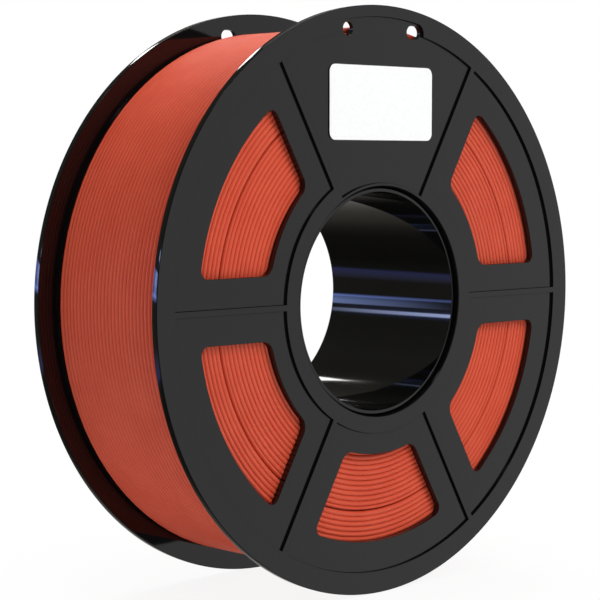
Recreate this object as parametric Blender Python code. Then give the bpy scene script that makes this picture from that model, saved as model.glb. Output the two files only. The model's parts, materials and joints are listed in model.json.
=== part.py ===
"""Filament spool: two moulded flanges that twist-lock on a bore sleeve, a winding drum
between them, and a full winding of round filament.

The spool stands on its rims. Its axis runs along Y, the front flange faces -Y and the
origin is on the ground below the middle of the axis. Lengths are metres.
"""
import math

import bmesh
import bpy
from mathutils import Matrix, Vector

MM = 0.001

# Overall
FLANGE_RADIUS = 100.0 * MM
SPOOL_WIDTH = 62.4 * MM
FIT = 0.3 * MM                      # clearance between neighbouring pieces

# Flange mouldings
MOULD_WALL = 2.4 * MM
BAY_DEPTH = 0.87 * MM               # how far the bays sink below the raised rim
RIM_WIDTH = 7.6 * MM
HUB_RING_WIDTH = 5.95 * MM
LABEL_LIP_WIDTH = 1.25 * MM         # the hub ring is narrower along the label bay
SPOKE_WIDTH = 2.1 * MM
SPOKE_COUNT = 6
LABEL_BAY = 1                       # bays are counted anticlockwise from the right

# Windows
WINDOW_RIM_MARGIN = 10.3 * MM
WINDOW_DRUM_MARGIN = 1.2 * MM
WINDOW_SIDE_MARGIN = 9.5 * MM
WINDOW_CORNER = 3.4 * MM

# Notch and thread holes at the top of the label bay
TAB_HALF_WIDTH = 20.2 * MM
TAB_REACH = 3.66 * MM
THREAD_HOLE_DIAMETER = 4.6 * MM
THREAD_HOLE_SPACING = 32.0 * MM
THREAD_HOLE_OFFSET = 0.5 * MM       # hole centres above the rim's inner edge
THREAD_SLOT_LENGTH = 6.6 * MM       # the right-hand hole is drawn out to a slot

# Bore sleeve
BORE_RADIUS = 37.25 * MM
SLEEVE_WALL = 1.5 * MM
SLEEVE_SETBACK = 1.5 * MM           # sleeve ends below the flange faces

# Bayonet locks
LOCK_COUNT = 6
LUG_SHARE = 0.30                    # of the room between the sleeve and the drum
HOOK_SHARE = 0.20                   # of the same room, as are the next two
COLLAR_SHARE = 0.20
KEY_SHARE = 0.20                    # how far a key stands past the lugs
LUG_THICKNESS = 2.2 * MM
LUG_ANGLE = math.radians(18.0)
FOOT_ANGLE = math.radians(16.0)
STOP_ANGLE = math.radians(4.0)
STOP_GAP_ANGLE = math.radians(0.5)
HOOK_FOOT = 2.0 * MM

# Winding drum
DRUM_RADIUS = 51.0 * MM
DRUM_WALL = 2.4 * MM
COLLAR_HEIGHT = 5.0 * MM
WEB_THICKNESS = 2.4 * MM
KEY_COUNT = 3
KEY_WIDTH = 3.0 * MM
KEY_LENGTH = 8.0 * MM

# Filament
FILAMENT_DIAMETER = 1.75 * MM
WINDING_BELOW_RIM = 7.0 * MM
MOST_LOOPS = 23
LEAST_LOOP_GAP = 0.45 * MM
LAYER_PITCH = 1.745 * MM
FIRST_GROOVE = 4.5                  # layers from the outer one down to the first groove
GROOVE_LAYERS = 7                   # layers from one groove to the next
LOOSE_GROOVE = 1                    # this groove is twice as deep: a layer sits loose there
GROOVE_WIDTH_SHARE = 0.8            # of the filament's diameter
ANCHOR_HOLE_DIAMETER = 2.6 * MM
ANCHOR_INSET = 15.6 * MM            # anchor hole behind the drum's front end
ANCHOR_TAIL = 3.6 * MM

# Label
LABEL_WIDTH = 50.0 * MM
LABEL_HEIGHT = 25.0 * MM
LABEL_CORNER = 2.5 * MM
LABEL_THICKNESS = 0.2 * MM

# Facets
ROUND_STEPS = 60
LOOP_STEPS = 24
FACET = 2.0 * math.pi / ROUND_STEPS
HOLE_STEPS = 16
OVERCUT = 1.0 * MM                  # how far a cutter runs past the face it opens
SAME_POINT = 0.001 * MM             # points this close are one point

# Sizes that follow from the ones above
HALF_WIDTH = SPOOL_WIDTH / 2.0
AXIS_HEIGHT = FLANGE_RADIUS * math.cos(FACET / 2.0)
RIM_INNER = FLANGE_RADIUS - RIM_WIDTH
SLEEVE_RADIUS = BORE_RADIUS + SLEEVE_WALL
HUB_HOLE = SLEEVE_RADIUS + FIT
HUB_RING = HUB_HOLE + HUB_RING_WIDTH
PAD_FACE = BAY_DEPTH + MOULD_WALL   # innermost face of a flange, from its outer face
INNER_FACE = PAD_FACE + FIT         # where the pieces between the flanges start
BAY_ANGLE = 2.0 * math.pi / SPOKE_COUNT
BAY_MARGIN = SPOKE_WIDTH / 2.0
WINDOW_INNER = DRUM_RADIUS + WINDOW_DRUM_MARGIN
WINDOW_OUTER = RIM_INNER - WINDOW_RIM_MARGIN
DRUM_INNER = DRUM_RADIUS - DRUM_WALL
DRUM_END = HALF_WIDTH - INNER_FACE
LOCK_ROOM = DRUM_INNER - SLEEVE_RADIUS
LUG_TIP = SLEEVE_RADIUS + LUG_SHARE * LOCK_ROOM
HOOK_INNER = LUG_TIP + FIT
HOOK_OUTER = HOOK_INNER + HOOK_SHARE * LOCK_ROOM
COLLAR_OUTER = DRUM_INNER - FIT
COLLAR_INNER = COLLAR_OUTER - COLLAR_SHARE * LOCK_ROOM
KEY_TIP = LUG_TIP + KEY_SHARE * LOCK_ROOM
ANCHOR_Y = ANCHOR_INSET - DRUM_END
ANCHOR_BEND = LOCK_ROOM / 2.0       # the strand's tail lies midway in the room
WINDING_RADIUS = FLANGE_RADIUS - WINDING_BELOW_RIM
FILAMENT_RADIUS = FILAMENT_DIAMETER / 2.0


def polar(radius, angle):
    """A point of the X-Z plane, its angle counted from +X towards +Z."""
    return (radius * math.cos(angle), radius * math.sin(angle))


def arc(radius, start, end):
    """Points along an arc, about as far apart as the round pieces' facets."""
    steps = max(2, round(abs(end - start) / FACET))
    return [polar(radius, start + (end - start) * i / steps) for i in range(steps + 1)]


def sector_outline(inner, outer, start, end):
    return arc(outer, start, end) + arc(inner, end, start)


def bay_span(radius, bay, margin):
    """First and last angle of a bay at one radius, a margin away from both spokes."""
    start = BAY_ANGLE * bay
    inset = math.asin(margin / radius)
    return start + inset, start + BAY_ANGLE - inset


def bay_outline(inner, outer, bay, margin):
    """A bay's outline: two arcs joined by sides that run parallel to the spokes."""
    outer_start, outer_end = bay_span(outer, bay, margin)
    inner_start, inner_end = bay_span(inner, bay, margin)
    return arc(outer, outer_start, outer_end) + arc(inner, inner_end, inner_start)


def label_bay_outline():
    """The label bay, with the notch that reaches out into the rim."""
    tab_outer = RIM_INNER + TAB_REACH
    top = BAY_ANGLE * (LABEL_BAY + 0.5)
    foot_angle = math.asin(TAB_HALF_WIDTH / RIM_INNER)
    tip_angle = math.asin(TAB_HALF_WIDTH / tab_outer)
    outer_start, outer_end = bay_span(RIM_INNER, LABEL_BAY, BAY_MARGIN)
    inner = HUB_HOLE + LABEL_LIP_WIDTH
    inner_start, inner_end = bay_span(inner, LABEL_BAY, BAY_MARGIN)
    return (arc(RIM_INNER, outer_start, top - foot_angle)
            + arc(tab_outer, top - tip_angle, top + tip_angle)
            + arc(RIM_INNER, top + foot_angle, outer_end)
            + arc(inner, inner_end, inner_start))


def add_prism(mesh, outline, near, far):
    """Extrude an outline of the X-Z plane along Y; returns its edges along Y, in order."""
    first = [mesh.verts.new((x, near, z)) for x, z in outline]
    face = mesh.faces.new(first)
    result = bmesh.ops.extrude_face_region(mesh, geom=[face])
    moved = [item for item in result["geom"] if isinstance(item, bmesh.types.BMVert)]
    bmesh.ops.translate(mesh, verts=moved, vec=(0.0, far - near, 0.0))
    moved = set(moved)
    return [next(edge for edge in vertex.link_edges if edge.other_vert(vertex) in moved)
            for vertex in first]


def round_edges(mesh, edges, radius, segments):
    bmesh.ops.bevel(mesh, geom=edges, offset=radius, offset_type="OFFSET", segments=segments,
                    profile=0.5, affect="EDGES", clamp_overlap=True, material=-1)


def turned(profile):
    """Turn a closed profile of (radius, y) points about the Y axis.

    The facets are centred on +X, +Z, -X and -Z, so that a rim rests on a flat.
    """
    mesh = bmesh.new()
    corners = []
    for radius, y in profile:
        x, z = polar(radius, FACET / 2.0)
        corners.append(mesh.verts.new((x, y, z)))
    edges = [mesh.edges.new((a, b)) for a, b in zip(corners, corners[1:] + corners[:1])]
    bmesh.ops.spin(mesh, geom=corners + edges, cent=(0.0, 0.0, 0.0), axis=(0.0, 1.0, 0.0),
                   angle=2.0 * math.pi, steps=ROUND_STEPS, use_merge=True)
    return mesh


def ring(inner, outer, near, far):
    return turned([(outer, near), (outer, far), (inner, far), (inner, near)])


def sectors(inner, outer, near, far, count, start, end):
    """Equal blocks of a ring, spread evenly round the axis."""
    mesh = bmesh.new()
    for i in range(count):
        turn = 2.0 * math.pi * i / count
        add_prism(mesh, sector_outline(inner, outer, start + turn, end + turn), near, far)
    return mesh


def close_up(mesh):
    bmesh.ops.recalc_face_normals(mesh, faces=mesh.faces)
    return mesh


def new_object(name, mesh):
    data = bpy.data.meshes.new(name)
    close_up(mesh).to_mesh(data)
    mesh.free()
    item = bpy.data.objects.new(name, data)
    bpy.context.collection.objects.link(item)
    return item


def combine(item, tool, operation):
    """Join a solid to an object, or cut it out, and keep the result as its mesh."""
    if isinstance(tool, bmesh.types.BMesh):
        tool = new_object("tool", tool)
    modifier = item.modifiers.new("combine", "BOOLEAN")
    modifier.object = tool
    modifier.operation = operation
    modifier.solver = "EXACT"
    depsgraph = bpy.context.evaluated_depsgraph_get()
    result = bmesh.new()
    result.from_object(item, depsgraph)
    bmesh.ops.remove_doubles(result, verts=result.verts, dist=SAME_POINT)
    item.modifiers.clear()
    result.to_mesh(item.data)
    result.free()
    bpy.data.objects.remove(tool)


def plastic(name, colour, roughness):
    material = bpy.data.materials.new(name)
    material.use_nodes = True
    shader = material.node_tree.nodes["Principled BSDF"]
    shader.inputs["Base Color"].default_value = (*colour, 1.0)
    shader.inputs["Roughness"].default_value = roughness
    shader.inputs["Metallic"].default_value = 0.0
    return material


def finish(item, material, axis_empty, y=0.0):
    """Give an object its material and smooth facets, and hang it on the spool's axis."""
    item.data.materials.clear()
    item.data.materials.append(material)
    if item.type == "MESH":
        item.data.shade_smooth()
        item.data.set_sharp_from_angle(angle=math.radians(30.0))
    item.parent = axis_empty
    item.location = (0.0, y, 0.0)
    return item


def bay_recesses():
    mesh = bmesh.new()
    for bay in range(SPOKE_COUNT):
        if bay == LABEL_BAY:
            outline = label_bay_outline()
        else:
            outline = bay_outline(HUB_RING, RIM_INNER, bay, BAY_MARGIN)
        add_prism(mesh, outline, -OVERCUT, BAY_DEPTH)
    return mesh


def bay_pads():
    """The wall behind each recess, set in by the same depth so that it stays as thick."""
    mesh = bmesh.new()
    for bay in range(SPOKE_COUNT):
        inner = HUB_HOLE + LABEL_LIP_WIDTH if bay == LABEL_BAY else HUB_RING
        outline = bay_outline(inner, RIM_INNER, bay, BAY_MARGIN)
        add_prism(mesh, outline, MOULD_WALL - BAY_DEPTH / 2.0, PAD_FACE)
    return mesh


def windows():
    mesh = bmesh.new()
    margin = BAY_MARGIN + WINDOW_SIDE_MARGIN
    for bay in range(SPOKE_COUNT):
        if bay == LABEL_BAY:
            continue
        outer_start, outer_end = bay_span(WINDOW_OUTER, bay, margin)
        outline = bay_outline(WINDOW_INNER, WINDOW_OUTER, bay, margin)
        edges = add_prism(mesh, outline, -OVERCUT, PAD_FACE + OVERCUT)
        turn = len(arc(WINDOW_OUTER, outer_start, outer_end))
        corners = [edges[0], edges[turn - 1], edges[turn], edges[-1]]
        round_edges(mesh, corners, WINDOW_CORNER, segments=3)
    return mesh


def slot_outline(x, z, diameter, length):
    """A slot along X, drawn from two half circles; a round hole if it is no longer."""
    reach = (length - diameter) / 2.0
    points = []
    for i in range(HOLE_STEPS):
        px, pz = polar(diameter / 2.0, 2.0 * math.pi * (i + 0.5) / HOLE_STEPS)
        points.append((x + px + math.copysign(reach, px), z + pz))
    return points


def thread_holes():
    mesh = bmesh.new()
    radius = RIM_INNER + THREAD_HOLE_OFFSET
    for side, length in ((-1.0, THREAD_HOLE_DIAMETER), (1.0, THREAD_SLOT_LENGTH)):
        x = side * THREAD_HOLE_SPACING / 2.0
        z = math.sqrt(radius ** 2 - x ** 2)
        outline = slot_outline(x, z, THREAD_HOLE_DIAMETER, length)
        add_prism(mesh, outline, -OVERCUT, PAD_FACE + OVERCUT)
    return mesh


def make_flange_mesh():
    """One flange, outer face at y = 0, the inside towards +Y."""
    flange = new_object("flange", ring(HUB_HOLE, FLANGE_RADIUS, 0.0, MOULD_WALL))
    combine(flange, bay_recesses(), "DIFFERENCE")
    combine(flange, bay_pads(), "UNION")
    combine(flange, windows(), "DIFFERENCE")
    combine(flange, thread_holes(), "DIFFERENCE")

    root = MOULD_WALL - BAY_DEPTH / 2.0     # joined pieces start inside the wall
    collar = ring(COLLAR_INNER, COLLAR_OUTER, root, PAD_FACE + COLLAR_HEIGHT)
    combine(flange, collar, "UNION")

    half_arm = LUG_ANGLE / 2.0
    half_foot = FOOT_ANGLE / 2.0
    foot_near = INNER_FACE + LUG_THICKNESS + FIT
    foot_far = foot_near + HOOK_FOOT
    arms = sectors(HOOK_INNER, HOOK_OUTER, root, foot_far + FIT, LOCK_COUNT, -half_arm, half_arm)
    combine(flange, arms, "UNION")
    toe = (HOOK_INNER + HOOK_OUTER) / 2.0
    feet = sectors(HUB_HOLE, toe, foot_near, foot_far, LOCK_COUNT, -half_foot, half_foot)
    combine(flange, feet, "UNION")

    mesh = flange.data
    bpy.data.objects.remove(flange)
    return mesh


def make_flange(name, mesh, material, axis_empty, side):
    """Side -1 is the front flange, side 1 the same moulding turned round at the back."""
    flange = bpy.data.objects.new(name, mesh)
    bpy.context.collection.objects.link(flange)
    finish(flange, material, axis_empty, side * HALF_WIDTH)
    flange.rotation_euler = (0.0, 0.0, math.pi if side > 0 else 0.0)
    return flange


def turn_about_z(mesh):
    bmesh.ops.rotate(mesh, verts=mesh.verts, cent=(0.0, 0.0, 0.0),
                     matrix=Matrix.Rotation(math.pi, 3, "Z"))


def make_sleeve(material, axis_empty):
    """The tube that lines the bore, with bayonet lugs and stops near both ends."""
    end = HALF_WIDTH - SLEEVE_SETBACK
    sleeve = new_object("bore_sleeve", ring(BORE_RADIUS, SLEEVE_RADIUS, -end, end))
    root = (BORE_RADIUS + SLEEVE_RADIUS) / 2.0
    half = LUG_ANGLE / 2.0
    stop_end = -half - STOP_GAP_ANGLE
    stop_start = stop_end - STOP_ANGLE
    lug_start = stop_start - STOP_GAP_ANGLE
    near = INNER_FACE - HALF_WIDTH
    far = near + LUG_THICKNESS
    stop_far = far + FIT + HOOK_FOOT
    stop_tip = LUG_TIP - FIT
    for turned_round in (False, True):
        lugs = sectors(root, LUG_TIP, near, far, LOCK_COUNT, lug_start, half)
        stops = sectors(root, stop_tip, near + FIT, stop_far, LOCK_COUNT, stop_start, stop_end)
        for blocks in (lugs, stops):
            if turned_round:
                turn_about_z(blocks)
            combine(sleeve, blocks, "UNION")

    keys = bmesh.new()
    for i in range(KEY_COUNT):
        outline = key_outline(i, root, KEY_TIP, KEY_WIDTH / 2.0)
        add_prism(keys, outline, -KEY_LENGTH / 2.0, KEY_LENGTH / 2.0)
    combine(sleeve, keys, "UNION")
    return finish(sleeve, material, axis_empty)


def key_outline(index, inner, outer, half_width):
    """A straight-sided key on the sleeve, or the slot for it, between two radii."""
    angle = 2.0 * math.pi * index / KEY_COUNT + math.pi / 2.0
    along = Vector(polar(1.0, angle))
    across = Vector(polar(half_width, angle + math.pi / 2.0))
    return [along * inner + across, along * outer + across,
            along * outer - across, along * inner - across]


def make_drum(material, axis_empty):
    """The barrel that the filament is wound on, with a keyed web round the sleeve."""
    drum = new_object("winding_drum", ring(DRUM_INNER, DRUM_RADIUS, -DRUM_END, DRUM_END))
    anchor = bmesh.new()
    bmesh.ops.create_cone(anchor, cap_ends=True, segments=HOLE_STEPS,
                          radius1=ANCHOR_HOLE_DIAMETER / 2.0,
                          radius2=ANCHOR_HOLE_DIAMETER / 2.0, depth=4.0 * DRUM_WALL,
                          matrix=Matrix.Translation((0.0, ANCHOR_Y, -DRUM_RADIUS)))
    combine(drum, anchor, "DIFFERENCE")

    middle = (DRUM_INNER + DRUM_RADIUS) / 2.0
    half_web = WEB_THICKNESS / 2.0
    web = new_object("web", ring(HOOK_INNER, middle, -half_web, half_web))
    slots = bmesh.new()
    for i in range(KEY_COUNT):
        outline = key_outline(i, SLEEVE_RADIUS, KEY_TIP + FIT, KEY_WIDTH / 2.0 + FIT)
        add_prism(slots, outline, -half_web - OVERCUT, half_web + OVERCUT)
    combine(web, slots, "DIFFERENCE")
    combine(drum, web, "UNION")
    return finish(drum, material, axis_empty)


def loop_count(span):
    return min(MOST_LOOPS, int(span / (FILAMENT_DIAMETER + LEAST_LOOP_GAP)))


def winding_points():
    """The outer layer's centre line: a helix whose two ends dive into the layer below."""
    centre = WINDING_RADIUS - FILAMENT_RADIUS
    first = FILAMENT_RADIUS - DRUM_END
    span = -2.0 * first
    loops = loop_count(span)
    steps = loops * LOOP_STEPS
    helix = []
    for i in range(steps + 1):
        x, z = polar(centre, 2.0 * math.pi * i / LOOP_STEPS)
        helix.append(Vector((x, first + span * i / steps, z)))
    start = end_dive(first, -1.0)
    end = end_dive(-first, 1.0)
    return start[::-1] + helix + end, loops


def end_dive(y, side):
    """Points that turn a winding's end towards the axis and run one diameter straight.

    The helix starts and ends on +X, so tangents there run along Z.
    """
    bend = FILAMENT_DIAMETER
    level = WINDING_RADIUS - FILAMENT_RADIUS - bend
    points = []
    for angle in (math.pi / 4.0, 0.0):
        points.append(Vector((level + bend * math.sin(angle), y, side * bend * math.cos(angle))))
    points.append(Vector((level - FILAMENT_DIAMETER, y, side * bend)))
    return points


def print_least_gap(points):
    """The least distance between turns a loop apart, less the filament's diameter."""
    least = min((points[i] - points[j]).length
                for i in range(len(points))
                for j in range(i + LOOP_STEPS // 2, min(len(points), i + 2 * LOOP_STEPS)))
    print("outer layer: least gap %.2f mm" % ((least - FILAMENT_DIAMETER) / MM))


def new_tube(name, points, material, axis_empty):
    """One unbroken round tube along the points."""
    curve = bpy.data.curves.new(name, "CURVE")
    curve.dimensions = "3D"
    curve.bevel_depth = FILAMENT_RADIUS
    curve.bevel_resolution = 1
    curve.use_fill_caps = True
    spline = curve.splines.new("POLY")
    spline.points.add(len(points) - 1)
    for target, point in zip(spline.points, points):
        target.co = (*point, 1.0)
    item = bpy.data.objects.new(name, curve)
    bpy.context.collection.objects.link(item)
    return finish(item, material, axis_empty)


def make_outer_layer(material, axis_empty):
    points, loops = winding_points()
    print("outer layer: %d loops" % loops)
    print_least_gap(points)
    return new_tube("filament_outer_layer", points, material, axis_empty)


def layer_grooves(inner):
    """Radius and depth of the grooves in the winding's sides, one in every few layers."""
    grooves = []
    radius = WINDING_RADIUS - FILAMENT_RADIUS - FIRST_GROOVE * LAYER_PITCH
    while radius > inner + FILAMENT_DIAMETER:
        loose = len(grooves) == LOOSE_GROOVE
        grooves.append((radius, FILAMENT_DIAMETER if loose else FILAMENT_RADIUS))
        radius -= GROOVE_LAYERS * LAYER_PITCH
    return grooves


def make_inner_layers(material, axis_empty):
    """The packed layers below the outer one, as one grooved ring with two end notches."""
    underside = WINDING_RADIUS - FILAMENT_DIAMETER
    sag = underside * (1.0 - math.cos(math.pi / LOOP_STEPS))
    outer = underside - sag - FIT
    inner = DRUM_RADIUS + FIT
    half_groove = GROOVE_WIDTH_SHARE * FILAMENT_DIAMETER / 2.0
    side = [(outer, DRUM_END)]
    for radius, depth in layer_grooves(inner):
        side += [(radius + half_groove, DRUM_END), (radius, DRUM_END - depth),
                 (radius - half_groove, DRUM_END)]
    side.append((inner, DRUM_END))
    profile = side + [(radius, -y) for radius, y in side[::-1]]
    layers = new_object("filament_inner_layers", turned(profile))

    floor = WINDING_RADIUS - FILAMENT_RADIUS - 2.0 * FILAMENT_DIAMETER - FIT
    width = FILAMENT_DIAMETER + FILAMENT_RADIUS + FIT
    depth = FILAMENT_DIAMETER + FIT
    for side in (-1.0, 1.0):
        outline = [(floor, 0.0), (WINDING_RADIUS, 0.0),
                   (WINDING_RADIUS, side * width), (floor, side * width)]
        notch = bmesh.new()
        add_prism(notch, outline, side * (DRUM_END + OVERCUT), side * (DRUM_END - depth))
        combine(layers, notch, "DIFFERENCE")
    return finish(layers, material, axis_empty)


def make_filament_start(material, axis_empty):
    """The strand's inner end: through the drum's anchor hole and bent along the axis."""
    tail_z = ANCHOR_BEND - DRUM_INNER
    points = [Vector((0.0, ANCHOR_Y, -DRUM_RADIUS))]
    for i in range(5):
        angle = math.pi / 2.0 * i / 4
        points.append(Vector((0.0, ANCHOR_Y - ANCHOR_BEND * (1.0 - math.cos(angle)),
                              -DRUM_INNER + ANCHOR_BEND * math.sin(angle))))
    points.append(Vector((0.0, ANCHOR_Y - ANCHOR_BEND - ANCHOR_TAIL, tail_z)))
    return new_tube("filament_start", points, material, axis_empty)


def make_label(material, axis_empty):
    mesh = bmesh.new()
    half = LABEL_WIDTH / 2.0
    middle = (WINDOW_INNER + WINDOW_OUTER) / 2.0
    low = middle - LABEL_HEIGHT / 2.0
    high = middle + LABEL_HEIGHT / 2.0
    near = BAY_DEPTH - FIT - LABEL_THICKNESS
    outline = [(-half, low), (half, low), (half, high), (-half, high)]
    edges = add_prism(mesh, outline, near, near + LABEL_THICKNESS)
    round_edges(mesh, edges, LABEL_CORNER, segments=4)
    label = new_object("label", mesh)
    return finish(label, material, axis_empty, -HALF_WIDTH)


def main():
    for item in list(bpy.data.objects):
        bpy.data.objects.remove(item)

    black = plastic("glossy black plastic", (0.012, 0.012, 0.013), 0.12)
    orange = plastic("orange red filament", (0.60, 0.085, 0.035), 0.45)
    paper = plastic("white label", (0.85, 0.85, 0.85), 0.5)

    axis_empty = bpy.data.objects.new("spool_axis", None)
    axis_empty.location = (0.0, 0.0, AXIS_HEIGHT)
    bpy.context.collection.objects.link(axis_empty)

    flange_mesh = make_flange_mesh()
    make_flange("front_flange", flange_mesh, black, axis_empty, -1.0)
    make_flange("rear_flange", flange_mesh, black, axis_empty, 1.0)
    make_sleeve(black, axis_empty)
    make_drum(black, axis_empty)
    make_inner_layers(orange, axis_empty)
    make_outer_layer(orange, axis_empty)
    make_filament_start(orange, axis_empty)
    make_label(paper, axis_empty)


main()
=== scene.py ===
# %% [markdown]
# # A filament spool, dressed around its CAD frame
# A spool of printer filament is two glossy black discs that twist onto a tube, with a
# thick winding of orange-red plastic strand between them. Nearly all that the eye reads
# on the black parts is reflection, so this lesson is about crisp moulded edges and about
# what stands around the spool, and then about strands that are really wound.

# %% Load the frame
import json
import math

import bmesh
import bpy
from mathutils import Matrix, Quaternion, Vector


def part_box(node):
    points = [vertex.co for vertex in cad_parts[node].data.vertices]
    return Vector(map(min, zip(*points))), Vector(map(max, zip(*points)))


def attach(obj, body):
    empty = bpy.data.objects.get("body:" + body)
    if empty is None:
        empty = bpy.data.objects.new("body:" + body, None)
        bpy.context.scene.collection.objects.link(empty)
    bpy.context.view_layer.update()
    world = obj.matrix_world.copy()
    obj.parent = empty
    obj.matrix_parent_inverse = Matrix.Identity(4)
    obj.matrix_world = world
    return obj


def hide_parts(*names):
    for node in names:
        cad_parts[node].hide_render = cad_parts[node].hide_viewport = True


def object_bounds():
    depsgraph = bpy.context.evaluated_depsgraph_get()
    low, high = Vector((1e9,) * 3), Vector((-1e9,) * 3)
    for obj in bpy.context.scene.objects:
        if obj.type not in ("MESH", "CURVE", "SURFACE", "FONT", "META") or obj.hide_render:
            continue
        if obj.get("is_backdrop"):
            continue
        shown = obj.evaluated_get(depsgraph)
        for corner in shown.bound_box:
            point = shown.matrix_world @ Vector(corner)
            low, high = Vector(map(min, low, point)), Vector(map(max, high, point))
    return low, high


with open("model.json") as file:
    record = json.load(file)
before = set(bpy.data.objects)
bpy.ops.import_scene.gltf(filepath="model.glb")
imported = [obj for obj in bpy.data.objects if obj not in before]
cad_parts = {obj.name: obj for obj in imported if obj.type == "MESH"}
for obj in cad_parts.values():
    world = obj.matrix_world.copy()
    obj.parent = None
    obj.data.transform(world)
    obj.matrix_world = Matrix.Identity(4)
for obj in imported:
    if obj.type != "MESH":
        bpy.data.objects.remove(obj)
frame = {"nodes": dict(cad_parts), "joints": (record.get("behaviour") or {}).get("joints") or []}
cad_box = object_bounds()
MM = 0.001
AXIS_HEIGHT = frame["joints"][0]["pos_m"][2]
HALF_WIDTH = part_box("rear_flange")[1].y
print("axis %.2f mm up, faces %.2f mm from the middle" % (AXIS_HEIGHT / MM, HALF_WIDTH / MM))

# %% [markdown]
# ## The camera
# The photograph is taken a little above the spool's axis, from 44 degrees to the left of
# its front face, with a long lens and no roll. A point to look from and a point to look
# at say the same as a rotation, and are easier to change.

# %% Camera
EYE = Vector((-487.16, -492.74, 146.58)) * MM
TARGET = Vector((-4.56, 4.33, 98.84)) * MM
camera_data = bpy.data.cameras.new("camera")
camera_data.lens = 118.58
camera_data.sensor_width = 36.0
camera_data.clip_start = 0.05
camera = bpy.data.objects.new("camera", camera_data)
camera.location = EYE
camera.rotation_mode = "QUATERNION"
camera.rotation_quaternion = (TARGET - EYE).to_track_quat("-Z", "Y")
bpy.context.collection.objects.link(camera)
bpy.context.scene.camera = camera
print("camera %.3f m from its target" % (TARGET - EYE).length)

# %% [markdown]
# ## Colours and nodes
# Colours are written as a painter would pick them, in sRGB, and turned to the linear
# values that Blender's shaders work in. One function adds any node, sets its options and
# fills its inputs, either with a value or with another node's output.

# %% Colour and node helpers
def linear(hex_colour):
    """An sRGB colour such as "D65A3E" as linear red, green, blue and alpha."""
    parts = [int(hex_colour[i:i + 2], 16) / 255.0 for i in (0, 2, 4)]
    return [c / 12.92 if c <= 0.04045 else ((c + 0.055) / 1.055) ** 2.4 for c in parts] + [1.0]


def add_node(tree, kind, inputs=None, **options):
    node = tree.nodes.new(kind)
    for name, value in options.items():
        setattr(node, name, value)
    for key, value in (inputs or {}).items():
        if isinstance(value, bpy.types.NodeSocket):
            tree.links.new(value, node.inputs[key])
        else:
            node.inputs[key].default_value = value
    return node


def new_material(name):
    """An empty material and its node tree, with the output that a shader is linked to."""
    material = bpy.data.materials.new(name)
    material.use_nodes = True
    material.node_tree.nodes.clear()
    return material, material.node_tree


def output(tree, shader):
    add_node(tree, "ShaderNodeOutputMaterial", {"Surface": shader.outputs[0]})


def set_ramp(node, stops):
    """Fill a colour ramp from (position, hex colour) pairs."""
    elements = node.color_ramp.elements
    while len(elements) < len(stops):
        elements.new(0.5)
    for element, (position, colour) in zip(elements, stops):
        element.position = position
        element.color = linear(colour)


# %% [markdown]
# ## The studio
# A glossy black disc shows the studio and little else. Its face mirrors a pale screen in
# front, which gives it an even dark grey. Its rims, edges and bore mirror the rest of the
# room, which is dim but for low bluish windows and three softboxes. So the world has three
# looks: white for the camera, a plain even level for matt surfaces, and for reflections
# this room, which is put together from a few ramps over the direction that a ray takes.

# %% The room that reflections see
world = bpy.data.worlds.new("studio")
world.use_nodes = True
tree = world.node_tree
tree.nodes.clear()
direction = add_node(tree, "ShaderNodeTexCoord").outputs["Generated"]
height = add_node(tree, "ShaderNodeSeparateXYZ", {"Vector": direction}).outputs["Z"]


def toward(x, y, z, low=-1.0, high=1.0):
    """How far a ray points one way: 0 where the cosine is low, 1 where it is high."""
    cosine = add_node(tree, "ShaderNodeVectorMath", {
        0: direction, 1: Vector((x, y, z)).normalized()}, operation="DOT_PRODUCT")
    return add_node(tree, "ShaderNodeMapRange", {
        "Value": cosine.outputs["Value"], "From Min": low, "From Max": high}).outputs["Result"]


def ramp(fac, stops):
    node = add_node(tree, "ShaderNodeValToRGB", {"Fac": fac})
    set_ramp(node, stops)
    return node.outputs["Color"]


def times(a, b):
    return add_node(tree, "ShaderNodeVectorMath", {0: a, 1: b},
                    operation="MULTIPLY").outputs["Vector"]


def plus(a, b):
    return add_node(tree, "ShaderNodeVectorMath", {0: a, 1: b},
                    operation="ADD").outputs["Vector"]


def mix(factor, a, b):
    return add_node(tree, "ShaderNodeMix", {"Factor": factor, 6: a, 7: b},
                    data_type="RGBA").outputs[2]


# Grey walls turn white towards the backdrop, but only low down. A patch of floor behind
# the spool is darker, and so is the side where the screen stands, opposite the windows.
backdrop = toward(0.69, 0.72, 0.0)
lower_walls = ramp(backdrop, [
    (0.0, "2C2C2C"), (0.35, "363634"), (0.45, "66655D"), (0.65, "6C6A61"), (0.725, "767268"),
    (0.825, "8E8982"), (0.91, "B2AEA8"), (0.965, "EAE8E6"), (0.98, "FFFFFF")])
upper_walls = ramp(backdrop, [
    (0.0, "2C2C2C"), (0.35, "363634"), (0.45, "605F58"), (0.65, "67665D"), (0.75, "58564F")])
is_upper = add_node(tree, "ShaderNodeMapRange", {
    "Value": height, "From Min": 0.18, "From Max": 0.25}).outputs["Result"]
walls = mix(is_upper, lower_walls, upper_walls)
dark_floor = toward(-0.42, 0.68, -0.60, 0.90, 0.985)
walls = times(walls, ramp(dark_floor, [(0.0, "FFFFFF"), (1.0, "9A9A9A")]))
dark_side = toward(0.72, -0.69, 0.0)
walls = times(walls, ramp(dark_side, [(0.62, "FFFFFF"), (0.74, "606060"), (1.0, "505050")]))

# The screen that the flange's face mirrors, and a dim glow straight in front of the spool.
screen = ramp(toward(0.69, -0.72, -0.07, 0.86, 0.93), [(0.0, "000000"), (1.0, "D6D6D7")])
front = ramp(toward(-0.25, -0.95, -0.07, 0.55, 0.95), [(0.0, "000000"), (1.0, "6A6A6A")])

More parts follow.
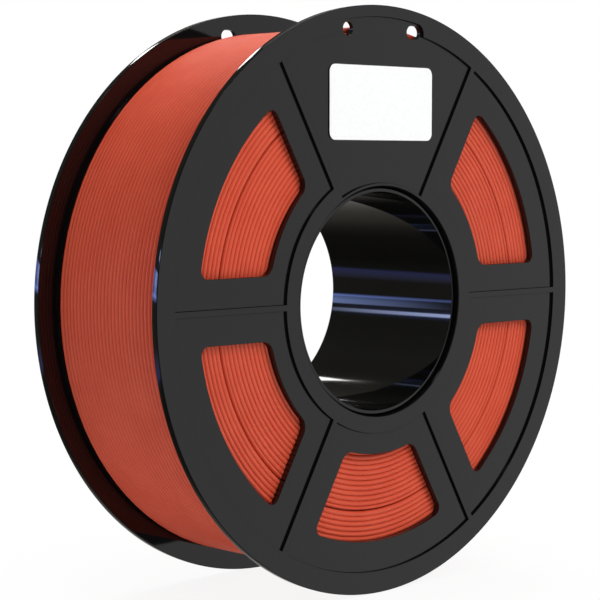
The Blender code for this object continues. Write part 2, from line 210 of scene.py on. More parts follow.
# %% The windows, and which rays see what
BAND_LOW, BAND_HIGH = -0.4, 0.4
WINDOW_STRENGTH = 14.0
WHITE = (1.0, 1.0, 1.0, 1.0)
DIM_PANE = (0.35, 0.35, 0.5, 1.0)       # what one end of the low window lets through
EVEN_LEVEL = 0.33                       # the world's strength for matt surfaces


def at(degrees):
    """Where an elevation lies on the ramp of window light."""
    return (math.sin(math.radians(degrees)) - BAND_LOW) / (BAND_HIGH - BAND_LOW)


def beyond(azimuth, degrees_from, degrees_to):
    """0 to 1 over a few degrees of azimuth, counted from one that lies behind the spool."""
    turn = math.radians(azimuth + 90.0)
    return toward(math.cos(turn), math.sin(turn), 0.0, math.sin(math.radians(degrees_from)),
                  math.sin(math.radians(degrees_to)))


band = add_node(tree, "ShaderNodeMapRange", {
    "Value": height, "From Min": BAND_LOW, "From Max": BAND_HIGH}).outputs["Result"]
sill = ramp(band, [
    (at(-21.5), "000000"), (at(-19.5), "22264A"), (at(-15.5), "1C1E32"), (at(-12.5), "000000"),
    (at(-0.5), "000000"), (at(-0.3), "3A4676"), (at(1.3), "46558A"), (at(1.6), "000000")])
low_window = ramp(band, [
    (at(0.3), "000000"), (at(0.6), "5C6EA6"), (at(3.3), "6478AE"), (at(3.7), "7688BE"),
    (at(7.0), "7688BE"), (at(7.6), "080C1A"), (at(9.5), "000000")])
high_window = ramp(band, [
    (at(8.0), "000000"), (at(8.6), "0E1428"), (at(10.6), "141D3C"), (at(11.2), "BCCBFF"),
    (at(13.2), "BCCBFF"), (at(13.8), "1C2A50"), (at(15.5), "121A34"), (at(16.5), "000000")])
low_window = times(low_window, beyond(136.5, 2.0, -2.5))
low_window = times(low_window, mix(beyond(128.3, -1.0, 1.0), DIM_PANE, WHITE))
high_window = times(high_window, beyond(135.5, -2.5, 3.0))
windows = times(plus(plus(sill, low_window), high_window),
                toward(-0.70, 0.70, 0.0, 0.88, 0.93))
windows = times(windows, (WINDOW_STRENGTH,) * 3)
room = plus(plus(plus(walls, screen), front), windows)

rays = add_node(tree, "ShaderNodeLightPath").outputs
reflected = add_node(tree, "ShaderNodeMath", {
    0: rays["Is Glossy Ray"], 1: rays["Is Transmission Ray"]}, operation="MAXIMUM")
level = add_node(tree, "ShaderNodeMix", {
    "Factor": rays["Is Camera Ray"], "A": EVEN_LEVEL, "B": 1.0}, data_type="FLOAT")
even = add_node(tree, "ShaderNodeBackground", {
    "Color": WHITE, "Strength": level.outputs["Result"]})
seen = add_node(tree, "ShaderNodeBackground", {"Color": room})
both = add_node(tree, "ShaderNodeMixShader", {
    "Fac": reflected.outputs["Value"], 1: even.outputs[0], 2: seen.outputs[0]})
add_node(tree, "ShaderNodeOutputWorld", {"Surface": both.outputs[0]})
bpy.context.scene.world = world
print("world has", len(tree.nodes), "nodes")

# %% [markdown]
# ## The lamps
# A large key lamp and a top lamp light the spool softly from the front and from above, and
# are hidden from reflections. Three softboxes do show: one makes the bright wedge in the
# bore and the patch on the near rim, one the pale sheen on top of the winding, and a small
# one a glint on the discs' edges.

# %% Lamps
def add_lamp(name, location, width, height, watts, in_reflections=False, roll=0.0):
    """A flat lamp that faces the middle of the spool, rolled about the way it faces."""
    data = bpy.data.lights.new(name, "AREA")
    data.shape = "RECTANGLE"
    data.size = width
    data.size_y = height
    data.energy = watts
    lamp = bpy.data.objects.new(name, data)
    lamp.location = location
    lamp.rotation_mode = "QUATERNION"
    aim = Vector((0.0, 0.0, AXIS_HEIGHT)) - lamp.location
    lamp.rotation_quaternion = (aim.to_track_quat("-Z", "Y")
                                @ Quaternion((0.0, 0.0, 1.0), math.radians(roll)))
    lamp.visible_glossy = in_reflections
    bpy.context.collection.objects.link(lamp)


add_lamp("key_lamp", Vector((0.35, -1.25, 1.15)), 0.9, 0.9, 15.0)
add_lamp("top_lamp", Vector((-0.25, 0.1, 1.5)), 0.8, 0.8, 7.2)
add_lamp("kicker_softbox", Vector((0.45, 1.336, 1.208)), 0.283, 0.141, 1.4,
         in_reflections=True, roll=45.0)
add_lamp("overhead_softbox", Vector((0.55, 0.58, 1.49)), 0.8, 0.6, 8.2, in_reflections=True)
add_lamp("glint_softbox", Vector((-0.31, -0.86, 1.41)), 0.25, 0.25, 1.0, in_reflections=True)
print("lamps give %.1f W in all" % sum(lamp.energy for lamp in bpy.data.lights))

# %% [markdown]
# ## The floor
# A plain pale floor, lit a little from within like a light table, catches the spool's soft
# shadow and brightens its underside. For the camera it turns to pure white with distance,
# so that it runs into the background without an edge. Reflections see the studio's world
# in its place.

# %% Floor
def polar(radius, angle):
    """A point of the X-Z plane, its angle counted from +X towards +Z."""
    return radius * math.cos(angle), radius * math.sin(angle)


FLANGE_RADIUS = 100.0 * MM
FLOOR_RADIUS = 6.0
FADE_FROM, FADE_TO = 40.0 * MM, 150.0 * MM
SEEN_GLOW, CAST_GLOW = 0.90, 0.40       # share of inner light, to the eye and as a lamp
material, tree = new_material("pale painted floor")
paint = add_node(tree, "ShaderNodeBsdfDiffuse", {"Color": linear("F6F6F6")})
glow = add_node(tree, "ShaderNodeEmission", {"Color": linear("FFFFFF"), "Strength": 1.0})
place = add_node(tree, "ShaderNodeTexCoord").outputs["Object"]
distance = add_node(tree, "ShaderNodeVectorMath", {0: place}, operation="LENGTH")
fade = add_node(tree, "ShaderNodeMapRange", {
    "Value": distance.outputs["Value"], "From Min": FADE_FROM, "From Max": FADE_TO,
    "To Min": SEEN_GLOW, "To Max": 1.0}, interpolation_type="SMOOTHSTEP")
rays = add_node(tree, "ShaderNodeLightPath").outputs
share = add_node(tree, "ShaderNodeMix", {
    "Factor": rays["Is Camera Ray"], "A": CAST_GLOW, "B": fade.outputs["Result"]},
    data_type="FLOAT")
mixed = add_node(tree, "ShaderNodeMixShader", {
    "Fac": share.outputs["Result"], 1: paint.outputs[0], 2: glow.outputs[0]})
output(tree, mixed)

mesh = bmesh.new()
ground = AXIS_HEIGHT - FLANGE_RADIUS
bmesh.ops.create_circle(mesh, cap_ends=True, radius=FLOOR_RADIUS, segments=64,
                        matrix=Matrix.Translation((0.0, 0.0, ground)))
floor_data = bpy.data.meshes.new("floor")
mesh.to_mesh(floor_data)
mesh.free()
floor_data.materials.append(material)
floor = bpy.data.objects.new("floor", floor_data)
floor.visible_glossy = False
bpy.context.collection.objects.link(floor)
floor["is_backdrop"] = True
print("floor lies at %.3f mm, where the round rims touch it" % (ground / MM))

# %% [markdown]
# ## Moulded black polystyrene
# The discs and the tube are injection-moulded polystyrene with carbon black, from a
# polished mould. The colour is almost nothing; what shows is a clear, mirror-like
# reflection, weak because the index is about 1.5. Polished mouldings are never quite
# flat: the skin sinks by microns over centimetres, and handling dulls it in patches.

# %% Polystyrene material
POLYSTYRENE, tree = new_material("moulded black polystyrene")
place = add_node(tree, "ShaderNodeTexCoord").outputs["Object"]
handling = add_node(tree, "ShaderNodeTexNoise", {
    "Vector": place, "Scale": 1.0 / (30.0 * MM), "Detail": 4.0})
roughness = add_node(tree, "ShaderNodeMapRange", {
    "Value": handling.outputs["Fac"], "From Min": 0.35, "From Max": 0.7,
    "To Min": 0.035, "To Max": 0.07})
sink = add_node(tree, "ShaderNodeTexNoise", {
    "Vector": place, "Scale": 1.0 / (45.0 * MM), "Detail": 1.0})
skin = add_node(tree, "ShaderNodeBump", {
    "Height": sink.outputs["Fac"], "Distance": 0.018 * MM, "Strength": 1.0})
shader = add_node(tree, "ShaderNodeBsdfPrincipled", {
    "Base Color": linear("09090A"), "Roughness": roughness.outputs["Result"],
    "IOR": 1.5, "Normal": skin.outputs["Normal"]})
output(tree, shader)
print(POLYSTYRENE.name, "has", len(tree.nodes), "nodes")

# %% [markdown]
# ## Extruded filament
# The strand is PLA, drawn through a round die and cooled in water. Its surface is satin
# and faintly translucent. The pigment varies a little along it, and the pull leaves the
# finest unevenness, drawn here a little coarser than real so that it shows.

# %% Filament material
FILAMENT, tree = new_material("extruded orange red PLA")
place = add_node(tree, "ShaderNodeTexCoord").outputs["Object"]
pigment = add_node(tree, "ShaderNodeTexNoise", {
    "Vector": place, "Scale": 1.0 / (14.0 * MM), "Detail": 2.0})
colour = add_node(tree, "ShaderNodeValToRGB", {"Fac": pigment.outputs["Fac"]})
set_ramp(colour, [(0.3, "D04E33"), (0.7, "D6563A")])
pull = add_node(tree, "ShaderNodeTexNoise", {
    "Vector": place, "Scale": 1.0 / (0.9 * MM), "Detail": 2.0})
uneven = add_node(tree, "ShaderNodeBump", {
    "Height": pull.outputs["Fac"], "Distance": 0.03 * MM, "Strength": 0.6})
satin = add_node(tree, "ShaderNodeMapRange", {
    "Value": pull.outputs["Fac"], "To Min": 0.46, "To Max": 0.58})
shader = add_node(tree, "ShaderNodeBsdfPrincipled", {
    "Base Color": colour.outputs["Color"], "Roughness": satin.outputs["Result"],
    "IOR": 1.46, "Subsurface Weight": 0.12, "Subsurface Scale": 1.0 * MM,
    "Subsurface Radius": (1.0, 0.35, 0.2), "Normal": uneven.outputs["Normal"]})
output(tree, shader)
print(FILAMENT.name, "has", len(tree.nodes), "nodes")

# %% [markdown]
# ## Shape helpers
# Everything on the spool is either turned about its axis or cut straight through along
# it. Two helpers make those two kinds of solid with bmesh's spin and extrude, and a third
# joins them or cuts one out of another with a Boolean. All of them work around an axis
# through the origin; a piece is lifted to the spool's axis when it is finished.

# %% Turning and extruding
FULL_TURN = 2.0 * math.pi
QUARTER_TURN = FULL_TURN / 4.0
TURN_STEPS = 360
CORNER_ROOM = 1.1               # free length beside a rounded corner, in corner radii


def arc(radius, start, end, step=FULL_TURN / TURN_STEPS):
    count = max(2, round(abs(end - start) / step))
    return [polar(radius, start + (end - start) * i / count) for i in range(count + 1)]


def arc_with_room(radius, start, end, corner):
    """An arc whose end steps are long enough for a corner of that radius to be rounded."""
    free = CORNER_ROOM * corner / radius
    return [polar(radius, start)] + arc(radius, start + free, end - free) + [polar(radius, end)]


def turned(profile, steps=TURN_STEPS):
    """Turn a closed profile of (radius, y) points about the Y axis."""
    mesh = bmesh.new()
    corners = [mesh.verts.new((radius, y, 0.0)) for radius, y in profile]
    edges = [mesh.edges.new(pair) for pair in zip(corners, corners[1:] + corners[:1])]
    bmesh.ops.spin(mesh, geom=corners + edges, cent=(0.0, 0.0, 0.0), axis=(0.0, 1.0, 0.0),
                   angle=FULL_TURN, steps=steps, use_merge=True)
    bmesh.ops.recalc_face_normals(mesh, faces=mesh.faces)
    return mesh


def ring(inner, outer, near, far):
    return turned([(outer, near), (outer, far), (inner, far), (inner, near)])


def add_prism(mesh, outline, near, far):
    """Extrude an outline of the X-Z plane along Y; returns its edges along Y, in order."""
    first = [mesh.verts.new((x, near, z)) for x, z in outline]
    face = mesh.faces.new(first)
    result = bmesh.ops.extrude_face_region(mesh, geom=[face])
    moved = [item for item in result["geom"] if isinstance(item, bmesh.types.BMVert)]
    bmesh.ops.translate(mesh, verts=moved, vec=(0.0, far - near, 0.0))
    moved = set(moved)
    bmesh.ops.recalc_face_normals(mesh, faces=mesh.faces)
    return [next(edge for edge in vertex.link_edges if edge.other_vert(vertex) in moved)
            for vertex in first]


def round_edges(mesh, edges, radius, segments=8):
    bmesh.ops.bevel(mesh, geom=edges, offset=radius, segments=segments, profile=0.5,
                    affect="EDGES", material=-1)


def blocks(inner, outer, near, far, count, start, end):
    """Equal blocks of a ring, spread evenly round the axis."""
    mesh = bmesh.new()
    for i in range(count):
        turn = FULL_TURN * i / count
        outline = arc(outer, start + turn, end + turn) + arc(inner, end + turn, start + turn)
        add_prism(mesh, outline, near, far)
    return mesh


# %% Joining and cutting
SAME_POINT = 0.001 * MM


def new_object(name, mesh):
    data = bpy.data.meshes.new(name)
    mesh.to_mesh(data)
    mesh.free()
    item = bpy.data.objects.new(name, data)
    bpy.context.collection.objects.link(item)
    return item


def combine(item, solid, operation):
    """Join a solid to an object, or cut it out, and keep the result as its mesh."""
    tool = new_object("tool", solid)
    modifier = item.modifiers.new("combine", "BOOLEAN")
    modifier.object = tool
    modifier.operation = operation
    modifier.solver = "EXACT"
    result = bmesh.new()
    result.from_object(item, bpy.context.evaluated_depsgraph_get())
    bmesh.ops.remove_doubles(result, verts=result.verts, dist=SAME_POINT)
    item.modifiers.clear()
    result.to_mesh(item.data)
    result.free()
    bpy.data.objects.remove(tool)


def finish_piece(item, material, body, node, turn=0.0, y=0.0):
    """Put a piece in its place on the spool, give it its material and body, and hide the frame's
    part that it stands for.
    """
    item.data.transform(Matrix.Translation((0.0, y, AXIS_HEIGHT))
                        @ Matrix.Rotation(turn, 4, "Z"))
    item.data.materials.clear()
    item.data.materials.append(material)
    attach(item, body)
    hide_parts(node)


def soften(item, width, segments=2):
    """Round every sharp edge a little, and keep flat faces flat where they shine.

    The clamp is off: it would shrink every edge's rounding to what the shortest edge bears.
    """
    item.data.shade_smooth()
    modifier = item.modifiers.new("moulded edges", "BEVEL")
    modifier.width = width
    modifier.segments = segments
    modifier.limit_method = "ANGLE"
    modifier.angle_limit = math.radians(35.0)
    modifier.use_clamp_overlap = False
    modifier.harden_normals = True


# %% [markdown]
# ## The two flanges
# Each disc is one moulding with a wall of 2.4 mm. The rim, the hub ring and six narrow
# spokes stand 0.87 mm above six bays. Five bays have a window; the top one is closed for
# the label, and reaches out into the rim between two holes that park the strand's end.
# It starts as a turned disc, and the bays are cut as straight-sided sectors whose edges
# run parallel to the spokes, as on the real disc. Behind each bay the wall steps inwards
# by as much, so that it stays as thick as the rest.

# %% Flange sizes
MOULD_WALL = 2.4 * MM
BAY_DEPTH = 0.87 * MM
PAD_FACE = BAY_DEPTH + MOULD_WALL
RIM_INNER = 92.4 * MM
HUB_HOLE = 39.05 * MM
HUB_RING = 45.0 * MM
LABEL_BAY_INNER = 40.3 * MM
SPOKE_HALF = 1.05 * MM
WINDOW_INNER, WINDOW_OUTER = 52.2 * MM, 82.1 * MM
WINDOW_MARGIN, WINDOW_CORNER = 10.55 * MM, 3.4 * MM
BAYS = 6
SECTOR = FULL_TURN / BAYS
LABEL_BAY = 1                   # bays are counted anticlockwise from the right
OVERCUT = 1.0 * MM              # how far a cutter runs past the face it opens


def bay_span(radius, bay, margin):
    inset = math.asin(margin / radius)
    return SECTOR * bay + inset, SECTOR * (bay + 1) - inset


def bay_outline(inner, outer, bay, margin):
    inner_start, inner_end = bay_span(inner, bay, margin)
    return arc(outer, *bay_span(outer, bay, margin)) + arc(inner, inner_end, inner_start)


# %% Cutters for the bays, windows and holes
TAB_HALF, TAB_OUTER, TAB_CORNER = 20.2 * MM, 96.06 * MM, 2.6 * MM
TOP = SECTOR * (LABEL_BAY + 0.5)


def label_bay(mesh):
    """The closed bay, with a round-cornered notch that reaches into the rim."""
    foot, tip = math.asin(TAB_HALF / RIM_INNER), math.asin(TAB_HALF / TAB_OUTER)
    start, end = bay_span(RIM_INNER, LABEL_BAY, SPOKE_HALF)
    inner_start, inner_end = bay_span(LABEL_BAY_INNER, LABEL_BAY, SPOKE_HALF)
    first = arc(RIM_INNER, start, TOP - foot)
    second = arc_with_room(TAB_OUTER, TOP - tip, TOP + tip, TAB_CORNER)
    outline = (first + second + arc(RIM_INNER, TOP + foot, end)
               + arc(LABEL_BAY_INNER, inner_end, inner_start))
    edges = add_prism(mesh, outline, -OVERCUT, BAY_DEPTH)
    corners = [edges[len(first)], edges[len(first) + len(second) - 1]]
    round_edges(mesh, corners, TAB_CORNER)


def all_bays():
    mesh = bmesh.new()
    for bay in range(BAYS):
        if bay == LABEL_BAY:
            label_bay(mesh)
        else:
            outline = bay_outline(HUB_RING, RIM_INNER, bay, SPOKE_HALF)
            add_prism(mesh, outline, -OVERCUT, BAY_DEPTH)
    return mesh


def all_pads():
    """The wall behind each bay, set in by the bay's depth so that it stays as thick."""
    mesh = bmesh.new()
    for bay in range(BAYS):
        inner = LABEL_BAY_INNER if bay == LABEL_BAY else HUB_RING
        outline = bay_outline(inner, RIM_INNER, bay, SPOKE_HALF)
        add_prism(mesh, outline, MOULD_WALL - BAY_DEPTH / 2.0, PAD_FACE)
    return mesh


def all_windows():
    mesh = bmesh.new()
    for bay in range(BAYS):
        if bay == LABEL_BAY:
            continue
        start, end = bay_span(WINDOW_OUTER, bay, WINDOW_MARGIN)
        first = arc_with_room(WINDOW_OUTER, start, end, WINDOW_CORNER)
        start, end = bay_span(WINDOW_INNER, bay, WINDOW_MARGIN)
        outline = first + arc_with_room(WINDOW_INNER, start, end, WINDOW_CORNER)[::-1]
        edges = add_prism(mesh, outline, -OVERCUT, PAD_FACE + OVERCUT)
        turn = len(first)
        corners = [edges[0], edges[turn - 1], edges[turn], edges[-1]]
        round_edges(mesh, corners, WINDOW_CORNER)
    return mesh


HOLE_X, HOLE_REACH = 16.0 * MM, 92.9 * MM
HOLE_RADIUS, HOLE_STEPS = 2.3 * MM, 48
SLOT_STRETCH = 1.0 * MM


def strand_holes():
    """Two holes that park the strand's end; the right-hand one is drawn out to a slot."""
    mesh = bmesh.new()
    z = math.sqrt(HOLE_REACH ** 2 - HOLE_X ** 2)
    for x, stretch in ((-HOLE_X, 0.0), (HOLE_X, SLOT_STRETCH)):
        outline = []
        for i in range(HOLE_STEPS):
            px, pz = polar(HOLE_RADIUS, FULL_TURN * (i + 0.5) / HOLE_STEPS)
            outline.append((x + px + math.copysign(stretch, px), z + pz))
        add_prism(mesh, outline, -OVERCUT, PAD_FACE + OVERCUT)
    return mesh


# %% [markdown]
# ### The twist locks behind the face
# Inside the drum each flange carries a round collar, which centres the drum, and six
# hooks that turn behind lugs on the bore tube. They show only in a cutaway, but the
# motion is theirs, so they keep the frame's sizes.

# %% Build the flanges
SLEEVE_RADIUS = 38.75 * MM
DRUM_INNER = 48.6 * MM
GAP = 0.3 * MM
LOCK_ROOM = DRUM_INNER - SLEEVE_RADIUS
LUG_SHARE, WALL_SHARE = 0.30, 0.20      # of the room between the tube and the drum
LUG_TIP = SLEEVE_RADIUS + LUG_SHARE * LOCK_ROOM
LOCK_WALL = WALL_SHARE * LOCK_ROOM
HOOK_INNER = LUG_TIP + GAP
HOOK_OUTER = HOOK_INNER + LOCK_WALL
LOCKS = 6
LUG_THICKNESS, HOOK_FOOT, COLLAR_HEIGHT = 2.2 * MM, 2.0 * MM, 5.0 * MM
LUG_HALF, FOOT_HALF = math.radians(9.0), math.radians(8.0)


def add_locks(flange):
    """A collar, then the hooks' arms, then their feet, which turn in behind the lugs."""
    root = MOULD_WALL - BAY_DEPTH / 2.0
    outer = DRUM_INNER - GAP
    collar = ring(outer - LOCK_WALL, outer, root, PAD_FACE + COLLAR_HEIGHT)
    near = PAD_FACE + 2.0 * GAP + LUG_THICKNESS
    far = near + HOOK_FOOT
    arms = blocks(HOOK_INNER, HOOK_OUTER, root, far + GAP, LOCKS, -LUG_HALF, LUG_HALF)
    toe = (HOOK_INNER + HOOK_OUTER) / 2.0
    feet = blocks(HUB_HOLE, toe, near, far, LOCKS, -FOOT_HALF, FOOT_HALF)
    for lock in (collar, arms, feet):
        combine(flange, lock, "UNION")


def plain_disc(lip=0.55 * MM, edge=0.25 * MM, land=0.2 * MM, steps=6):
    """The disc, with its hole's lip and its outer edges rounded as the mould does.

    A narrow land beside each rounding keeps its shading off the flat face.
    """
    quarter = [polar(1.0, QUARTER_TURN * i / steps) for i in range(steps + 1)]
    profile = [(FLANGE_RADIUS - edge - land, 0.0)]
    profile += [(FLANGE_RADIUS - edge * (1.0 - b), edge * (1.0 - a)) for a, b in quarter]
    profile += [(FLANGE_RADIUS - edge * (1.0 - a), MOULD_WALL - edge * (1.0 - b))
                for a, b in quarter]
    profile += [(FLANGE_RADIUS - edge - land, MOULD_WALL), (HUB_HOLE, MOULD_WALL)]
    profile += [(HUB_HOLE + lip * (1.0 - a), lip * (1.0 - b)) for a, b in quarter]
    profile.append((HUB_HOLE + lip + land, 0.0))
    return turned(profile)


flange = new_object("front_flange_moulding", plain_disc())
combine(flange, all_bays(), "DIFFERENCE")
combine(flange, all_pads(), "UNION")
combine(flange, all_windows(), "DIFFERENCE")
combine(flange, strand_holes(), "DIFFERENCE")
add_locks(flange)
rear = bpy.data.objects.new("rear_flange_moulding", flange.data.copy())
bpy.context.collection.objects.link(rear)
soften(flange, width=0.12 * MM)
soften(rear, width=0.12 * MM)
finish_piece(flange, POLYSTYRENE, "front", "front_flange",
             y=-HALF_WIDTH)
finish_piece(rear, POLYSTYRENE, "rear", "rear_flange",
             turn=math.pi, y=HALF_WIDTH)
print("flange has", len(flange.data.polygons), "faces")

# %% [markdown]
# ## The bore tube
# One tube lines the bore from face to face. It stops 1.5 mm below each face, which leaves
# a thin ring round the mouth. Outside, near both ends, six lugs with stops hold the
# flanges, and three keys in the middle hold the drum.

# %% Bore tube
BORE_RADIUS = 37.25 * MM
SETBACK = 1.5 * MM
TUBE_END = HALF_WIDTH - SETBACK
STOP_GAP, STOP = math.radians(0.5), math.radians(4.0)
KEYS, KEY_HALF_WIDTH, KEY_HALF_LENGTH = 3, 1.5 * MM, 4.0 * MM


def tube_side(lip=0.55 * MM, steps=4):
    """Half of the tube's profile, from the middle out; its mouth is rounded outside."""
    points = [(SLEEVE_RADIUS, 0.0)]
    for i in range(steps + 1):
        across, along = polar(lip, QUARTER_TURN * i / steps)
        points.append((SLEEVE_RADIUS - lip + across, TUBE_END - lip + along))
    return points + [(BORE_RADIUS, TUBE_END)]


profile = tube_side()
profile += [(radius, -y) for radius, y in profile[:0:-1]]
tube = new_object("bore_tube", turned(profile))
root = (BORE_RADIUS + SLEEVE_RADIUS) / 2.0
near = PAD_FACE + GAP - HALF_WIDTH
far = near + LUG_THICKNESS
stop_end = -LUG_HALF - STOP_GAP
stop_start = stop_end - STOP
for turned_round in (False, True):
    lugs = blocks(root, LUG_TIP, near, far, LOCKS, stop_start - STOP_GAP, LUG_HALF)
    stops = blocks(root, LUG_TIP - GAP, near + GAP, far + GAP + HOOK_FOOT, LOCKS,
                   stop_start, stop_end)
    for lock in (lugs, stops):
        if turned_round:
            bmesh.ops.rotate(lock, verts=lock.verts, cent=(0.0, 0.0, 0.0),
                             matrix=Matrix.Rotation(math.pi, 3, "Z"))
        combine(tube, lock, "UNION")

keys = bmesh.new()
tip = LUG_TIP + LOCK_WALL
for i in range(KEYS):
    angle = FULL_TURN * i / KEYS + QUARTER_TURN
    along = Vector(polar(1.0, angle))
    across = Vector(polar(KEY_HALF_WIDTH, angle + QUARTER_TURN))
    outline = [along * root + across, along * tip + across,
               along * tip - across, along * root - across]
    add_prism(keys, outline, -KEY_HALF_LENGTH, KEY_HALF_LENGTH)
combine(tube, keys, "UNION")
soften(tube, width=0.15 * MM)
finish_piece(tube, POLYSTYRENE, "hub", "bore_sleeve")
print("bore tube has", len(tube.data.polygons), "faces")

# %% [markdown]
# ## The drum
# The filament hides the drum, so the frame's own shape stays and only gets the plastic.

# %% Drum
drum = frame["nodes"]["winding_drum"]
for slot in drum.material_slots:
    slot.material = POLYSTYRENE
print(drum.name, "keeps its", len(drum.data.polygons), "faces")

# %% [markdown]
# ## The winding, seen from its sides
# Through the windows you look at the edges of some twenty layers, one strand each. They
# are turned here as one ring whose two sides are scalloped, a half circle for every
# layer. One layer sits loose, and the slit beside it makes a dark line through the windows.

# %% Inner layers
STRAND = 1.75 * MM
WINDING_RADIUS = 93.0 * MM
TOP_LAYER = WINDING_RADIUS - STRAND / 2.0       # the outer layer's centre line
LAYER_PITCH = 1.745 * MM
DRUM_RADIUS = 51.0 * MM
SIDE_GAP = 0.1 * MM             # between the winding and the flange
SIDE_END = HALF_WIDTH - PAD_FACE - SIDE_GAP
LAYERS = 24
LOOSE_LAYER = 12
PUSHED_OUT, SUNK_IN = 0.06 * MM, 0.25 * MM      # the layer outside the gap, and inside it
SLIT_TOP, SLIT_FOOT, SLIT_DEPTH = 0.48 * MM, 0.02 * MM, 2.9 * MM


def scallops(steps=8, first=math.radians(5.0)):
    """Points down one side of the winding, from the outermost inner layer to the drum."""
    bump = LAYER_PITCH / 2.0
    points = []
    for layer in range(1, LAYERS):
        centre = TOP_LAYER - LAYER_PITCH * layer
        width = bump
        if layer == LOOSE_LAYER - 1:
            width += PUSHED_OUT
            centre += PUSHED_OUT
        if layer == LOOSE_LAYER:
            width -= SUNK_IN
            centre -= SUNK_IN
            points.append((centre + width + SLIT_TOP, SIDE_END - SLIT_DEPTH))
            points.append((centre + width + SLIT_FOOT, SIDE_END - SLIT_DEPTH))
        for i in range(steps + 1):
            angle = first + (math.pi - 2.0 * first) * i / steps
            radius = max(centre + width * math.cos(angle), DRUM_RADIUS + GAP)
            points.append((radius, SIDE_END - bump * (1.0 - math.sin(angle))))
    return points


side = scallops()
profile = [(radius, -y) for radius, y in side][::-1] + side
layers = new_object("wound_layers", turned(profile, steps=180))
layers.data.shade_smooth()
layers.data.set_sharp_from_angle(angle=math.radians(50.0))
finish_piece(layers, FILAMENT, "hub", "filament_inner_layers")
print("side profile has", len(side), "points")

# %% [markdown]
# ## The outer layer
# The last layer is one strand that winds from flange to flange, thirty times round, with
# its loops side by side. It is a helix drawn as a curve with a round bevel; a helix keeps
# its lines faintly aslant, which rings would not. Both ends dive into the layer below.

# %% Outer layer
LOOPS = 30
WINDING_END = HALF_WIDTH - PAD_FACE - GAP
POINTS_PER_LOOP = 96


def quarter_bend(bend, steps):
    """How far a strand has gone on, and turned aside, along a quarter bend."""
    angles = [QUARTER_TURN * i / steps for i in range(steps + 1)]
    return [(bend * math.sin(angle), bend * (1.0 - math.cos(angle))) for angle in angles]


def helix():
    end = WINDING_END - STRAND / 2.0
    steps = LOOPS * POINTS_PER_LOOP
    points = []
    for i in range(steps + 1):
        x, z = polar(TOP_LAYER, FULL_TURN * i / POINTS_PER_LOOP)
        points.append((x, -end + 2.0 * end * i / steps, z))
    return points


def dive(y, side):
    """The strand's end: a quarter bend towards the axis, then straight down."""
    points = [(TOP_LAYER - aside, y, side * on) for on, aside in quarter_bend(STRAND, 6)[1:]]
    return points + [(TOP_LAYER - 2.0 * STRAND, y, side * STRAND)]


def new_strand(name, points, resolution=3):
    """One unbroken round strand through the points, as a mesh."""
    curve = bpy.data.curves.new(name, "CURVE")
    curve.dimensions = "3D"
    curve.bevel_depth = STRAND / 2.0
    curve.bevel_resolution = resolution
    curve.use_fill_caps = True
    spline = curve.splines.new("POLY")
    spline.points.add(len(points) - 1)
    for target, point in zip(spline.points, points):
        target.co = (*point, 1.0)
    item = bpy.data.objects.new(name, curve)
    bpy.context.collection.objects.link(item)
    mesh = bmesh.new()
    mesh.from_mesh(item.evaluated_get(bpy.context.evaluated_depsgraph_get()).to_mesh())
    bmesh.ops.remove_doubles(mesh, verts=mesh.verts, dist=SAME_POINT)
    bmesh.ops.recalc_face_normals(mesh, faces=mesh.faces)
    bpy.data.objects.remove(item)
    strand = new_object(name, mesh)
    strand.data.shade_smooth()
    strand.data.set_sharp_from_angle(angle=math.radians(60.0))
    return strand


points = helix()
points = dive(points[0][1], -1.0)[::-1] + points + dive(points[-1][1], 1.0)
outer = new_strand("outer_layer", points)
finish_piece(outer, FILAMENT, "hub", "filament_outer_layer")
print("outer layer has", LOOPS, "loops and", len(outer.data.polygons), "faces")

# %% [markdown]
# ## The strand's inner end
# Winding starts with the strand's end pushed through a hole in the drum and bent aside.

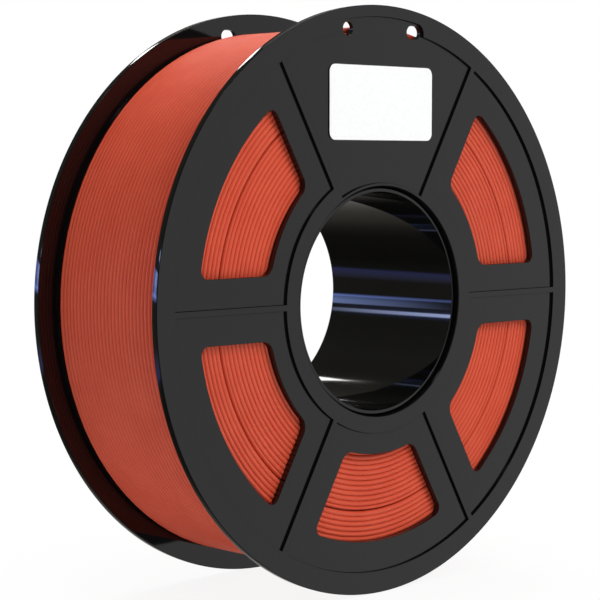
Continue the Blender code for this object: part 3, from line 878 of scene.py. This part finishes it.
# %% Strand start
low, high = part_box("filament_start")
bend = LOCK_ROOM / 2.0
hole_y = high.y - STRAND / 2.0
points = [(0.0, hole_y, -DRUM_RADIUS)]
points += [(0.0, hole_y - aside, on - DRUM_INNER) for on, aside in quarter_bend(bend, 8)]
points.append((0.0, low.y, bend - DRUM_INNER))
start = new_strand("strand_start", points)
finish_piece(start, FILAMENT, "hub", "filament_start")
print("strand's end runs %.1f mm along the drum" % ((hole_y - low.y) / MM))

# %% [markdown]
# ## The label
# A matt white paper sticker with rounded corners lies in the top bay. It is left blank.
# Paper is never one white: fibres mottle it, and its cut edge catches a little shade.

# %% Label
PAPER, tree = new_material("matt white sticker paper")
place = add_node(tree, "ShaderNodeTexCoord").outputs["Object"]
fibres = add_node(tree, "ShaderNodeTexNoise", {
    "Vector": place, "Scale": 1.0 / (0.8 * MM), "Detail": 5.0, "Roughness": 0.65})
tone = add_node(tree, "ShaderNodeValToRGB", {"Fac": fibres.outputs["Fac"]})
set_ramp(tone, [(0.3, "F2F3F3"), (0.7, "FAFAFA")])
tooth = add_node(tree, "ShaderNodeBump", {
    "Height": fibres.outputs["Fac"], "Distance": 0.02 * MM, "Strength": 0.5})
shader = add_node(tree, "ShaderNodeBsdfPrincipled", {
    "Base Color": tone.outputs["Color"], "Roughness": 0.6, "IOR": 1.5,
    "Normal": tooth.outputs["Normal"]})
output(tree, shader)

LABEL_WIDTH, LABEL_HEIGHT = 50.0 * MM, 25.0 * MM
LABEL_CORNER, LABEL_THICKNESS = 2.5 * MM, 0.2 * MM
half, middle = LABEL_WIDTH / 2.0, (WINDOW_INNER + WINDOW_OUTER) / 2.0
low, high = middle - LABEL_HEIGHT / 2.0, middle + LABEL_HEIGHT / 2.0
back = BAY_DEPTH - GAP
mesh = bmesh.new()
edges = add_prism(mesh, [(-half, low), (half, low), (half, high), (-half, high)],
                  back - LABEL_THICKNESS, back)
round_edges(mesh, edges, LABEL_CORNER, segments=10)
label = new_object("blank_label", mesh)
soften(label, width=0.04 * MM)
finish_piece(label, PAPER, "front", "label", y=-HALF_WIDTH)
print("label from %.2f to %.2f mm above the axis" % (low / MM, high / MM))

# %% Sizes and finish
bpy.context.scene.view_settings.view_transform = "Standard"
boxes = {"cad": [list(corner) for corner in cad_box],
         "visual": [list(corner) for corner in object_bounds()]}
for name, (low, high) in boxes.items():
    print(name, "mm:", [round((b - a) / MM, 2) for a, b in zip(low, high)])
